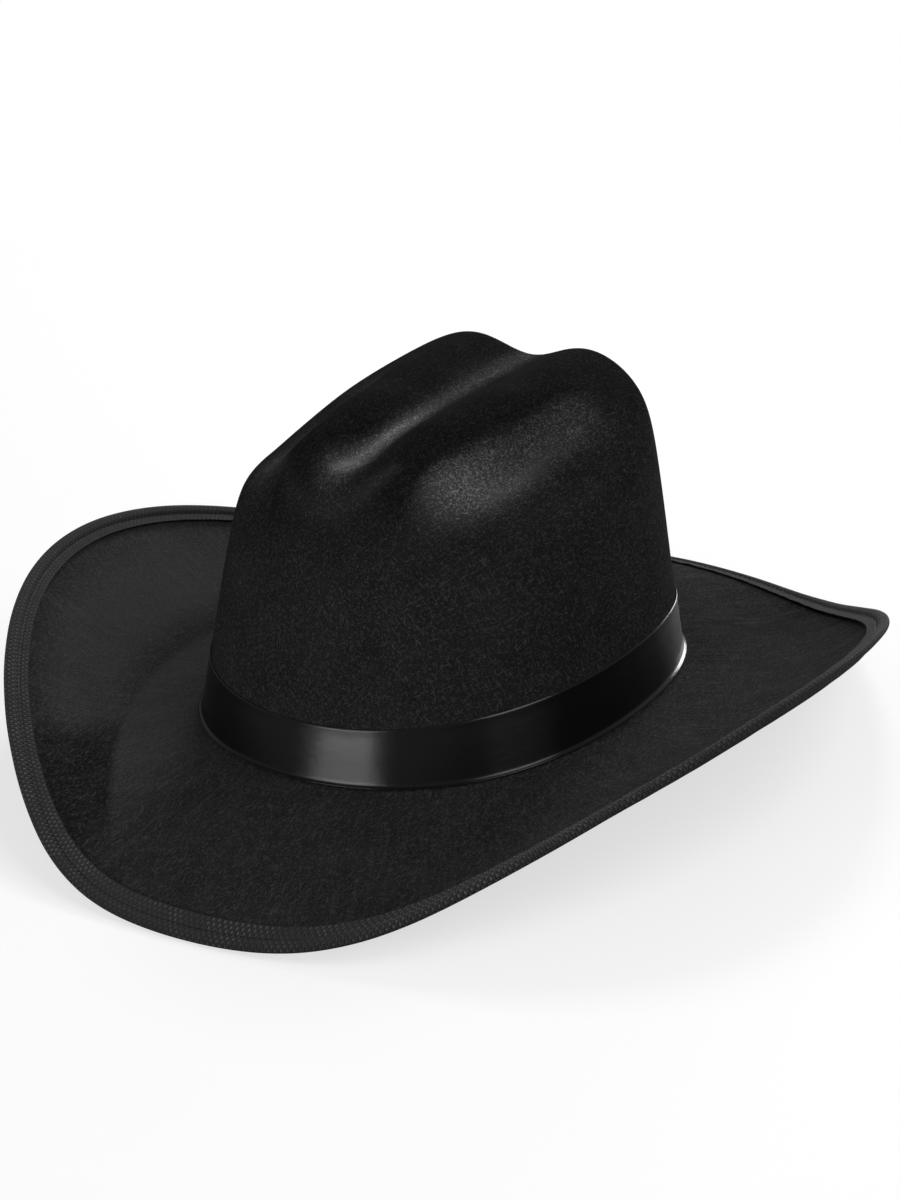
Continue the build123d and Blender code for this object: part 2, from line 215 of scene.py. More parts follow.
def top_height(x, y):
    dome = CROWN_HEIGHT + TOP_TILT[0] * x + TOP_TILT[1] * y
    dome = dome - FRONT_DROP * (1 - blend(*FRONT_DROP_RANGE, y))
    dome = dome - TOP_SAG * (y / SAG_REACH) ** 2 - TOP_ROUND * (x / ROUND_REACH) ** 2
    dents = DENT_DEPTH * dent_share(x, y) + GROOVE_DEPTH * groove_share(x, y)
    return dome - CREASE_DEPTH * crease_share(x, y) - dents


def wall_lean(turn):
    corner = np.where(np.sin(turn) < 0, *CORNER_LEAN)
    return np.radians(by_direction(turn, WALL_LEAN) + corner * np.sin(2 * turn) ** 2)


def crown_point(turn, radius):
    """Upper side of the crown, at a radius from its middle: the lower of wall and top, softened."""
    reach, dx, dy = band_ray(turn)
    front = np.maximum(-np.sin(turn), 0) ** 4 * blend(*FRONT_SOFT_RANGE, radius / reach)
    soft = by_direction(turn, SHOULDER) + FRONT_SOFTNESS * front
    wall = (reach - radius) / np.tan(wall_lean(turn)) + band_height(turn)
    top = top_height(radius * dx, radius * dy)
    return stack(radius * dx, radius * dy, -soft * np.logaddexp(-wall / soft, -top / soft))


WALL_SHARE = 0.18                         # evens out the rows between steep wall and flat top
POLE = 0.8                                # radius of the last ring before the middle


def crown_radius(turn, way):
    bottom = band_ray(turn)[0] - FILLET * np.tan(wall_lean(turn))
    up = 1 - way
    return bottom - (bottom - POLE) * (WALL_SHARE * up + (1 - WALL_SHARE) * up**2)


def brim_span(turn):
    """Where the brim starts and ends in one direction, and the straight distance between."""
    reach, dx, dy = band_ray(turn)
    inner = stack(reach * dx, reach * dy, band_height(turn))
    outer = stack(*(harmonics(turn, waves) for waves in (EDGE_ACROSS, EDGE_ALONG, EDGE_HEIGHT)))
    return inner, outer, np.linalg.norm(outer - inner, axis=-1, keepdims=True)


def brim_point(turn, out):
    """Upper side of the brim, from the band line (out = 0) to the edge (out = 1)."""
    inner, outer, width = brim_span(turn)
    level = unit((outer - inner) * [1, 1, 0])
    upward = np.array([0, 0, 1])
    slope_in = np.radians(by_direction(turn, SLOPE_IN))[..., None]
    slope_out = np.radians(by_direction(turn, SLOPE_OUT))[..., None]
    leave = inner + PULL_IN * width * (level * np.cos(slope_in) + upward * np.sin(slope_in))
    arrive = outer - PULL_OUT * width * (level * np.cos(slope_out) + upward * np.sin(slope_out))
    b = np.asarray(out)[..., None]
    near = (1 - b) ** 3 * inner + 3 * b * (1 - b) ** 2 * leave
    return near + 3 * b**2 * (1 - b) * arrive + b**3 * outer


def brim_inset(turn, inset):
    """brim_point's second parameter at a distance in from the edge."""
    _, outer, width = brim_span(turn)
    edge_run = unit(brim_span(turn + STEP)[1] - brim_span(turn - STEP)[1])
    rib = unit(outer - brim_point(turn, 1 - STEP))
    squareness = np.linalg.norm(np.cross(rib, edge_run), axis=-1)
    out = 1 - inset / (3 * PULL_OUT * width[..., 0] * squareness)
    for _ in range(6):
        reach = np.linalg.norm(outer - brim_point(turn, out), axis=-1) * squareness
        out = 1 - (1 - out) * inset / np.maximum(reach, 1e-9)
    return out


def felt_upper(turn, way):
    """Upper side of the whole felt: crown, rounded corner, brim."""
    if np.max(way) <= 1:
        return crown_point(turn, crown_radius(turn, way))
    brim_start = FILLET / (3 * PULL_IN * brim_span(turn)[2][..., 0])
    brim_end = brim_inset(turn, FELT_INSET)
    foot = crown_point(turn, crown_radius(turn, 1))
    corner = brim_point(turn, 0 * turn)
    brim_foot = brim_point(turn, brim_start)
    crown = crown_point(turn, crown_radius(turn, np.minimum(way, 1)))
    brim = brim_point(turn, brim_start + (brim_end - brim_start) * (np.maximum(way, 2) - 2))
    t = np.clip(way - 1, 0, 1)[..., None]
    fillet = (1 - t) ** 2 * foot + 2 * t * (1 - t) * corner + t**2 * brim_foot
    way = np.asarray(way)[..., None]
    return np.where(way <= 1, crown, np.where(way < 2, fillet, brim))


def inward(surface, a, b):
    """Direction square to a surface, into the felt."""
    run_a = surface(a + STEP, b) - surface(a - STEP, b)
    run_b = surface(a, b + STEP) - surface(a, b - STEP)
    return unit(np.cross(run_a, run_b))


def unevenness(p):
    """Rise and fall that pressing leaves in the felt, within a quarter of a millimetre."""
    x, y, z = p[..., 0], p[..., 1], p[..., 2]
    slow = SLOW_RISE * np.sin(x / 19 + 0.6) * np.sin(y / 27 + z / 31 + 1.9)
    middling = MIDDLING_RISE * np.sin(x / 9.1 - y / 14.3 + 2.2) * np.sin(z / 12.7 + y / 10.9)
    return slow + middling


def in_felt(turn, way, depth):
    """Point at a depth below the felt's upper side; outside it the depth is negative."""
    base = felt_upper(turn, way)
    return base + (depth - unevenness(base))[..., None] * inward(felt_upper, turn, way)


def on_brim(turn, inset, height):
    """Point a distance in from the brim's edge and a height above the felt's upper side."""
    out = brim_inset(turn, inset)
    base = brim_point(turn, out)
    return base - (height + unevenness(base))[..., None] * inward(brim_point, turn, out)


def on_wall(turn, climb, depth):
    """Point on the wall a climb above the fillet, or on the fillet where climb is negative."""
    run = crown_radius(turn, 1) - POLE
    share = np.maximum(climb, 0) * np.sin(wall_lean(turn)) / run
    root = np.sqrt(WALL_SHARE**2 + 4 * (1 - WALL_SHARE) * share)
    up = (root - WALL_SHARE) / (2 * (1 - WALL_SHARE))
    return in_felt(turn, 1 - up - np.minimum(climb, 0) / (2 * FILLET), depth)


def into_frame(points):
    """Millimetres on a level band line to metres in the frame."""
    c, s = math.cos(REST_PITCH), math.sin(REST_PITCH)
    tip = np.array([[1, 0, 0], [0, c, s], [0, -s, c]])
    return points @ tip.T * MM


# ---- meshes ----------------------------------------------------------------------------------

def mesh_object(name, vertices, faces, uv=None, marks=None):
    mesh = bpy.data.meshes.new(name)
    mesh.from_pydata(into_frame(vertices).tolist(), [], faces)
    mesh.update()
    mesh.polygons.foreach_set("use_smooth", np.ones(len(mesh.polygons), bool))
    if uv is not None:
        layer = mesh.uv_layers.new(name="cloth")
        layer.data.foreach_set("uv", np.asarray(uv, np.float32).ravel())
    for mark, values in (marks or {}).items():
        attribute = mesh.attributes.new(mark, "FLOAT", "POINT")
        attribute.data.foreach_set("value", np.asarray(values, np.float32).ravel())
    thing = bpy.data.objects.new(name, mesh)
    bpy.context.scene.collection.objects.link(thing)
    return thing


def grid_faces(rows, columns):
    """Corners of the squares that start in each row and column, whose numbers aren't wrapped yet."""
    i, j = (index.ravel() for index in np.meshgrid(range(rows), range(columns), indexing="ij"))
    return np.stack([i, i + 1, i + 1, i], 1), np.stack([j, j, j + 1, j + 1], 1)


def arc_length(points, axis):
    """Distance from the first point to each one along an axis of the grid."""
    steps = np.linalg.norm(np.diff(points, axis=axis), axis=-1)
    start = np.zeros_like(np.take(steps, [0], axis=axis))
    return np.concatenate([start, np.cumsum(steps, axis=axis)], axis=axis)


def loop_of_sections(name, sections, whole_turn):
    """Closed skin through sections (turn, place in section, xyz), each a closed outline.

    Where it doesn't go the whole turn, each end is capped.
    """
    count, around, _ = sections.shape
    i, j = grid_faces(count if whole_turn else count - 1, around)
    faces = (i % count) * around + j % around
    ring = np.concatenate([sections, sections[:1]]) if whole_turn else sections
    along = arc_length(ring, 0).mean(axis=1)
    girth = arc_length(np.concatenate([sections, sections[:, :1]], axis=1), 1).mean(axis=0)
    uv = np.stack([along[i], girth[j]], -1).reshape(-1, 2)
    faces = faces.tolist()
    if not whole_turn:
        half = around // 2
        for start, order in ((0, 1), ((count - 1) * around, -1)):
            for k in range(half - 1):
                cap = [k, around - 1 - k, around - 2 - k, k + 1][::order]
                faces.append([start + corner for corner in cap])
                uv = np.concatenate([uv, np.zeros((4, 2))])
    return mesh_object(name, sections.reshape(-1, 3), faces, uv)


def strip_sections(place, turns, across, thickness):
    """Sections of a flat strip: its far face one way along `across`, its near face back."""
    far = place(turns[:, None], across[None, :], thickness)
    near = place(turns[:, None], across[None, ::-1], 0)
    return np.concatenate([far, near], axis=1)


def full(value, *like):
    """The value, repeated to the shape that it takes together with the others."""
    return value + 0 * sum(like)


# Zones of the brim where light and shade are painted into the felt's colour. A turn is in
# degrees here. Four numbers are a zone: it fades in over the first two and out over the last two.
FOLD_TURN = (183, 245)                    # painted light and shade part at a faint fold between these turns
FOLD_OUT = (0.21, 0.58)                   # it starts this far out, and goes this much further
FOLD_BEND = 1.6
FOLD_EDGE = (-0.03, 0.035)
WEDGE_TURN = (172, 195, 222, 252)         # inside the fold
PATCH_TURN = (160, 190, 211.5, 218.5)     # outside it
PATCH_OUT = (0.24, 0.5, 0.72, 0.95)
SHADE_TURN = (211.5, 218.5, 232, 250)     # outside it, further to the front
REAR_TURN = (170, 13)                     # centre and half width
REAR_OUT = (0.2, 0.5)
FAR_SIDE_TURN = (50, 30)
FRONT_TURN = (275, 25)
WEDGE_PALER, PATCH_PALER, REAR_PALER, FRONT_PALER = 0.36, 0.3, 0.34, 0.05
SHADE_DARKER, FAR_SIDE_DARKER = 0.17, 0.24


def brim_painted_light_shade(turn, out):
    """Painted light (above 0) and painted shade (below 0) on the brim's felt."""
    degrees = np.degrees(np.mod(turn, 2 * np.pi))
    start, end = FOLD_TURN
    along = np.clip((degrees - start) / (end - start), 0, 1)
    beyond = out - FOLD_OUT[0] - FOLD_OUT[1] * along**FOLD_BEND
    outside = blend(*FOLD_EDGE, beyond)
    wedge = (1 - outside) * zone(degrees, *WEDGE_TURN)
    patch = outside * zone(out, *PATCH_OUT) * zone(degrees, *PATCH_TURN)
    shade = outside * zone(degrees, *SHADE_TURN)
    rear = bump(degrees, *REAR_TURN) * blend(*REAR_OUT, out)
    paler = WEDGE_PALER * wedge + PATCH_PALER * patch + REAR_PALER * rear
    paler = paler + FRONT_PALER * bump(degrees, *FRONT_TURN)
    return paler - SHADE_DARKER * shade - FAR_SIDE_DARKER * bump(degrees, *FAR_SIDE_TURN)


# Where the block has flattened the crown's nap, in millimetres. The felt gets a glossy coat there,
# and a highlight painted into its colour.
CREASE_GLAZE_WIDTH = (0.56, 0.3)          # as shares of the crease's: front, back
CREASE_GLAZE_NARROWS = (-62, -34)
CREASE_GLAZE_FADES = (-45, 10)            # over this it falls to CREASE_GLAZE_LEFT
CREASE_GLAZE_LEFT = 0.25
DENT_GLAZE = 0.62
DENT_GLAZE_ALONG = (-78, -56, 15, 50)
DENT_GLAZE_FADES = (-48, 0)               # over this it falls to DENT_GLAZE_LEFT
DENT_GLAZE_LEFT = 0.4
DENT_GLAZE_OFFSET = 43.264                # its middle line, which spreads towards the back
DENT_GLAZE_SPREAD = 0.108
DENT_GLAZE_ACROSS = (-11.5, -4.5, -1, 17)
RIGHT_DENT_SHARE = 0.5
# A faint arc in front of the crease, painted as a highlight into the felt's colour.
ARC_HIGHLIGHT_CENTRE = (-5, -50)
ARC_HIGHLIGHT_RADIUS = 26
ARC_HIGHLIGHT_HALF_WIDTH = 2.8
ARC_HIGHLIGHT_FRONT = (-66, -56)
ARC_HIGHLIGHT_SIDES = (-12, 12)              # it is fainter on the wearer's right
ARC_HIGHLIGHT_FAINTEST = 0.4


def glaze_and_highlight_share(x, y):
    """How flat the crown's nap is, for its coat and its painted highlight: 1 is fully glazed."""
    front, back = CREASE_GLAZE_WIDTH
    narrowing = front + (back - front) * blend(*CREASE_GLAZE_NARROWS, y)
    crease_left = 1 - (1 - CREASE_GLAZE_LEFT) * blend(*CREASE_GLAZE_FADES, y)
    crease = crease_share(x, y, narrowing) * crease_left
    dent_left = 1 - (1 - DENT_GLAZE_LEFT) * blend(*DENT_GLAZE_FADES, y)
    aside = np.abs(x) - DENT_GLAZE_OFFSET - DENT_GLAZE_SPREAD * y
    dent = DENT_GLAZE * zone(y, *DENT_GLAZE_ALONG) * dent_left * zone(aside, *DENT_GLAZE_ACROSS)
    return np.maximum(crease, dent * np.where(x < 0, RIGHT_DENT_SHARE, 1.0))


def arc_highlight_paint(x, y):
    """Faint arc in front of the crease, where a highlight is painted into the felt's colour."""
    reach = np.hypot(x - ARC_HIGHLIGHT_CENTRE[0], y - ARC_HIGHLIGHT_CENTRE[1])
    arc = bump(reach, ARC_HIGHLIGHT_RADIUS, ARC_HIGHLIGHT_HALF_WIDTH) * (1 - blend(*ARC_HIGHLIGHT_FRONT, y))
    return arc * (ARC_HIGHLIGHT_FAINTEST + (1 - ARC_HIGHLIGHT_FAINTEST) * blend(*ARC_HIGHLIGHT_SIDES, x))


FELT_TURNS = np.linspace(0, 2 * np.pi, 560, endpoint=False)
FELT_ROWS = (120, 7, 62)                  # crown, corner, brim
FELT_MAP_RADIUS = 120.0                   # its flat map is unrolled at this distance from the middle
TOP_FADE = (80, 95)                       # marks on the crown's top fade in over these heights
RIDGE_FADE = (62, 116)                    # and shade painted darker towards its ridges over these
BRIM_FADE = (1.2, 2.2)                    # way
UNDERSIDE_SHARE = 0.2                     # of the upper side's painted light and shade
# The painted arc highlight makes the crown's top this much paler.
ARC_HIGHLIGHT_PALER = 0.3


def make_felt():
    """The felt as one closed skin: upper side, cut edge, lower side, and a fan at each middle."""
    crown, corner, brim = FELT_ROWS
    parts = (np.linspace(0, 1, crown), np.linspace(1, 2, corner)[1:], np.linspace(2, 3, brim)[1:])
    ways = np.concatenate(parts)
    turn = FELT_TURNS[None, :]
    on_crown = ways < 1 - 2 * STEP
    rows = (ways[on_crown, None], ways[~on_crown, None])
    upper = [in_felt(turn, way, 0) for way in rows]
    rim = in_felt(turn, ways[-1:, None], FELT / 2)
    lower = np.concatenate([in_felt(turn, way, FELT) for way in rows])[::-1]
    points = np.concatenate([*upper, rim, lower])
    rows, columns = points.shape[:2]
    middle_top = points[0].mean(axis=0)
    middle_under = points[-1].mean(axis=0)
    vertices = np.concatenate([points.reshape(-1, 3), [middle_top, middle_under]])
    i, j = grid_faces(rows - 1, columns)
    faces = (i * columns + j % columns).tolist()
    u = FELT_TURNS[1] * j * FELT_MAP_RADIUS
    v = arc_length(points, 0).mean(axis=1)[i]
    uv = np.stack([u, v], -1).reshape(-1, 2)
    ring = np.arange(columns)
    after = (ring + 1) % columns
    top = np.stack([ring, after, full(rows * columns, ring)], 1)
    last = (rows - 1) * columns
    under = np.stack([last + after, last + ring, full(rows * columns + 1, ring)], 1)
    faces += top.tolist() + under.tolist()
    uv = np.concatenate([uv, np.zeros((6 * columns, 2))])
    x, y, z = vertices[:, 0], vertices[:, 1], vertices[:, 2]
    on_top = blend(*TOP_FADE, z)
    # Where the nap is flat: a glossy coat, and a highlight painted into the colour.
    glaze_and_highlight_paint = on_top * glaze_and_highlight_share(x, y)
    row_ways = np.concatenate([ways, [3.0], ways[::-1]])
    row_share = np.where(np.arange(rows) <= rows // 2, 1.0, UNDERSIDE_SHARE)
    # Light and shade painted on the brim's felt, fainter underneath.
    row_painted_light_shade = row_share[:, None] * brim_painted_light_shade(turn, np.maximum(row_ways[:, None] - 2, 0))
    on_brim_share = np.append(np.repeat(blend(*BRIM_FADE, row_ways), columns), [0, 0])
    light_and_shade_paint = np.append(row_painted_light_shade, [0, 0]) * on_brim_share
    # The crown's top gets a painted highlight along a faint arc in front of the crease.
    light_and_shade_paint = light_and_shade_paint + ARC_HIGHLIGHT_PALER * on_top * arc_highlight_paint(x, y)
    # Shade painted on the crown's top, darker towards its ridges, but not where the nap is flat.
    top_shade_paint = blend(*RIDGE_FADE, z) * (1 - glaze_and_highlight_paint)
    marks = {"glaze_and_highlight_paint": glaze_and_highlight_paint, "brim": on_brim_share, "top_shade_paint": top_shade_paint, "light_and_shade_paint": light_and_shade_paint}
    return mesh_object("felt_body_cloth", vertices, faces, uv, marks)


def ripple(turn, counts):
    """Irregular waves round the hat, -1 to 1, from even ones of which so many go round."""
    return sum(np.sin(count * turn + 1.7 * count) for count in counts) / len(counts)


BINDING_TURNS = 1120
BORDER_PULL = 0.36                        # at the sides the border is drawn towards the seam
BORDER_LIFT = 0.25                        # its inner border stands off the felt by this,
SIDE_LIFT = 0.75                          # by this more at the sides,
UNEVEN_LIFT = 0.14                        # and by this unevenly
BORDER_RIPPLE = 0.08
CHANNEL_RISE = 0.42                       # over the wire
CHANNEL_INSET = 2.7
CHANNEL_HALF_WIDTH = 1.5
SEAM_GROOVE = 0.34                        # where the seam draws the tape in
SEAM_GROOVE_HALF_WIDTH = 0.75
BELOW_SHARE = 0.3                         # of lift and channel on the lower side


def make_binding():
    """Tape folded over the wire: a full channel, a groove along the seam, a lifted inner border."""
    flat = np.linspace(TAPE_WIDTH, NOSE_INSET, 26)
    fold = np.linspace(QUARTER, -QUARTER, 15)[1:-1]
    turn = np.linspace(0, 2 * np.pi, BINDING_TURNS, endpoint=False)[:, None]
    side = np.cos(turn) ** 2

    def skin(outside):
        radius = NOSE + (TAPE if outside else 0)
        height = radius - FELT / 2
        beyond_seam = np.maximum(flat[None, :] - SEAM_INSET, 0)
        inset = flat[None, :] - BORDER_PULL * side * beyond_seam
        border = beyond_seam / (TAPE_WIDTH - SEAM_INSET)
        uneven = UNEVEN_LIFT * ripple(turn, (97, 131, 71))
        lift = border * (BORDER_LIFT + SIDE_LIFT * side + uneven)
        channel = CHANNEL_RISE * bump(inset, CHANNEL_INSET, CHANNEL_HALF_WIDTH)
        groove = (SEAM_GROOVE if outside else 0.0) * bump(inset, SEAM_INSET, SEAM_GROOVE_HALF_WIDTH)
        soft = BORDER_RIPPLE * ripple(turn, (83, 149, 211)) * (inset > SEAM_INSET)
        above = height + lift + channel - groove + soft
        below = -FELT - height - BELOW_SHARE * lift - BELOW_SHARE * channel + groove
        top = on_brim(full(turn, inset), full(inset, turn), above)
        bottom = on_brim(full(turn, inset), full(inset[:, ::-1], turn), below[:, ::-1])
        angle = full(fold[None, :], turn)
        nose_inset = NOSE_INSET - radius * np.cos(angle)
        nose = on_brim(full(turn, angle), nose_inset, radius * np.sin(angle) - FELT / 2)
        return np.concatenate([top, nose, bottom], axis=1)

    sections = np.concatenate([skin(True), skin(False)[:, ::-1]], axis=1)
    return loop_of_sections("edge_binding_tape", sections, True)


RIBBON_TURNS = 640
RIBBON_FLARE = 0.75                       # the foot stands off the felt by this
FLARE_TOP = -1.2                          # climb at which the flare starts
UPPER_EDGE_LIFT = 0.18
UPPER_EDGE_HALF_WIDTH = 2.0
RIBBON_WAVE = 0.05
WAVE_FADE = (0, 4)                        # climb over which the waves fade in


def make_ribbon():
    """Satin ribbon whose foot flares on to the brim and whose end laps over its start."""
    reach = band_ray(RIBBON_JOIN)[0]
    ramp = 2 * RIBBON_LAP / reach
    finish = RIBBON_JOIN + 2 * np.pi
    turns = np.linspace(RIBBON_JOIN, finish + RIBBON_LAP / reach, RIBBON_TURNS)
    upper_edge = RIBBON_WIDTH - FILLET
    across = np.concatenate([np.linspace(-FILLET, 0, 9), np.linspace(0, upper_edge, 24)[1:]])

    def place(turn, climb, layer):
        step = (RIBBON + GAP) * blend(finish - ramp, finish, turn)
        flare = RIBBON_FLARE * blend(FLARE_TOP, -FILLET, climb)
        lift = UPPER_EDGE_LIFT * bump(climb, upper_edge, UPPER_EDGE_HALF_WIDTH)
        wave = RIBBON_WAVE * ripple(turn, (23, 37, 14)) * blend(*WAVE_FADE, climb)
        outward = GAP + step + flare + lift + wave + layer
        return on_wall(full(turn, climb), full(climb, turn), -outward)

    sections = strip_sections(place, turns, across, RIBBON)
    return loop_of_sections("hatband_ribbon", sections, False)


SWEATBAND_TURNS = 520
LOWER_HEM = (0.35, 0.8, 0.9)              # thickness, distance from the edge, half width
UPPER_HEM = (0.25, 1.0, 1.0)
SWEAT_SEAM_DIMPLE = (0.25, 0.8)           # depth, half width
SWEAT_SLACK = 0.25                        # a loose upper edge leaves the felt by up to twice this
SEAM_TAPE_ROOM = 0.75                     # so the tape over the joint lies this far in


def make_sweatband():
    """Cloth strip inside the crown: hemmed at both edges, sewn near the lower, slack above."""
    half_joint = SWEAT / BAND_LENGTH
    turns = np.linspace(BACK + half_joint, BACK + 2 * np.pi - half_joint, SWEATBAND_TURNS)
    across = np.linspace(0, SWEAT_WIDTH, 34)
    outside = FELT + GAP

    def place(turn, climb, layer):
        hem = LOWER_HEM[0] * bump(climb, *LOWER_HEM[1:])
        hem = hem + UPPER_HEM[0] * bump(SWEAT_WIDTH - climb, *UPPER_HEM[1:])
        dimple = SWEAT_SEAM_DIMPLE[0] * bump(climb, SWEAT_SEAM, SWEAT_SEAM_DIMPLE[1])
        loose = blend(SWEAT_SEAM, SWEAT_WIDTH, climb)
        slack = SWEAT_SLACK * (1 + ripple(turn, (11, 19, 31))) * loose
        inner = full(0, turn, climb) if layer == 0 else hem - dimple
        return on_wall(full(turn, climb), full(climb, turn), outside + layer + slack + inner)

    sections = strip_sections(place, turns, across, SWEAT)
    return loop_of_sections("sweatband_cloth_strip", sections, False)


def make_seam_tape():
    half = SEAM_TAPE_WIDTH / BAND_LENGTH
    turns = np.linspace(BACK - half, BACK + half, 40)
    across = np.linspace(SWEAT_SEAM + 4 * THREAD, SWEAT_WIDTH - SWEAT_SEAM / 2, 40)
    outside = FELT + 2 * GAP + SWEAT + SEAM_TAPE_ROOM

    def place(turn, climb, layer):
        return on_wall(full(turn, climb), full(climb, turn), full(outside + layer, turn, climb))

    sections = strip_sections(place, turns, across, SEAM_TAPE)
    return loop_of_sections("sweatband_seam_tape_cloth", sections, False)


# ---- stitches --------------------------------------------------------------------------------

STITCH_RINGS = 7
STITCH_SIDES = 6
STITCH_TIP = 0.35                         # how thick a stitch still is where it enters the cloth


def make_stitches(name, place, starts, ends, arch):
    """Rounded lengths of thread, each dipping into the cloth at both ends.

    place(at, rise) gives a point for each stitch, at a place between its start and its end.
    """
    shares = np.linspace(0, 1, STITCH_RINGS)
    sides = STITCH_SIDES
    rings = []
    for share in shares:
        rise = arch * (1 - (2 * share - 1) ** 4)
        at = starts + (ends - starts) * share
        centre = place(at, full(rise, at))
        ahead = unit(place(at + STEP, full(rise, at)) - place(at - STEP, full(rise, at)))
        upward = unit(place(at, full(rise + 0.1, at)) - centre)
        sideways = np.cross(ahead, upward)
        fullness = math.sin(math.pi * min(max(share, 0.06), 0.94)) ** 0.4
        thick = THREAD * (STITCH_TIP + (1 - STITCH_TIP) * fullness)
        for k in range(sides):
            angle = 2 * math.pi * k / sides
            rings.append(centre + thick * (math.cos(angle) * sideways + math.sin(angle) * upward))
    points = np.stack(rings, axis=1)
    count, each, _ = points.shape
    i, j = grid_faces(len(shares) - 1, sides)
    one = i * sides + j % sides
    faces = (one[None, :, :] + each * np.arange(count)[:, None, None]).reshape(-1, 4).tolist()
    for n in range(count):
        faces.append([n * each + k for k in range(sides)][::-1])
        faces.append([n * each + each - sides + k for k in range(sides)])
    return mesh_object(name, points.reshape(-1, 3), faces)


def seam_turns(pitch, length):
    """Turns at an even pitch along the brim's edge, and the turn that each stitch takes."""
    fine = np.linspace(0, 2 * np.pi, 4000)
    run = arc_length(brim_span(fine)[1], 0)
    count = int(run[-1] / pitch)
    starts = np.interp(np.arange(count) * run[-1] / count, run, fine)
    ends = np.interp(np.arange(count) * run[-1] / count + length, run, fine)
    return starts, ends


STITCH_PITCH = 2.7
STITCH_LENGTH = 2.1
STITCH_ARCH = 0.14


def make_binding_stitches():
    starts, ends = seam_turns(STITCH_PITCH, STITCH_LENGTH)
    level = NOSE + TAPE - FELT / 2

    def upper(turn, rise):
        return on_brim(turn, full(SEAM_INSET, turn), level - SEAM_GROOVE + rise)

    def lower(turn, rise):
        return on_brim(turn, full(SEAM_INSET, turn), -FELT - level + SEAM_GROOVE - rise)

    needle = make_stitches("binding_needle_stitches", upper, starts, ends, STITCH_ARCH)
    bobbin = make_stitches("binding_bobbin_stitches", lower, starts, ends, STITCH_ARCH)
    return needle, bobbin


FLAT_STITCH_ARCH = 0.1                    # stitches of the sweatband and of the ribbon's lap
SWEAT_STITCHES = 190
SWEAT_STITCH_SHARE = 0.75                 # of the pitch
LAP_STITCHES = 6
LAP_STITCH_SHARE = 0.7
LAP_STITCH_START = 0.6                    # climb
LAP_STITCH_INSET = 1.6                    # from the ribbon's end


def make_sweatband_stitches():
    pitch = 2 * np.pi / SWEAT_STITCHES
    starts = np.arange(SWEAT_STITCHES) * pitch
    ends = starts + SWEAT_STITCH_SHARE * pitch
    level = FELT + GAP + SWEAT - FLAT_STITCH_ARCH

    def place(turn, rise):
        return on_wall(turn, full(SWEAT_SEAM, turn), level + rise)

    return make_stitches("sweatband_stitches", place, starts, ends, FLAT_STITCH_ARCH)


def make_lap_stitches():
    """A short row of stitches down the ribbon's lapped end."""
    pitch = (RIBBON_WIDTH - FILLET) / LAP_STITCHES
    starts = np.arange(LAP_STITCHES) * pitch + LAP_STITCH_START
    ends = starts + LAP_STITCH_SHARE * pitch
    turn = RIBBON_JOIN + (RIBBON_LAP - LAP_STITCH_INSET) / band_ray(RIBBON_JOIN)[0]
    outside = 2 * GAP + 2 * RIBBON

    def place(climb, rise):
        return on_wall(full(turn, climb), climb, -(outside + rise))

    return make_stitches("hatband_lap_stitches", place, starts, ends, FLAT_STITCH_ARCH)


# ---- materials -------------------------------------------------------------------------------

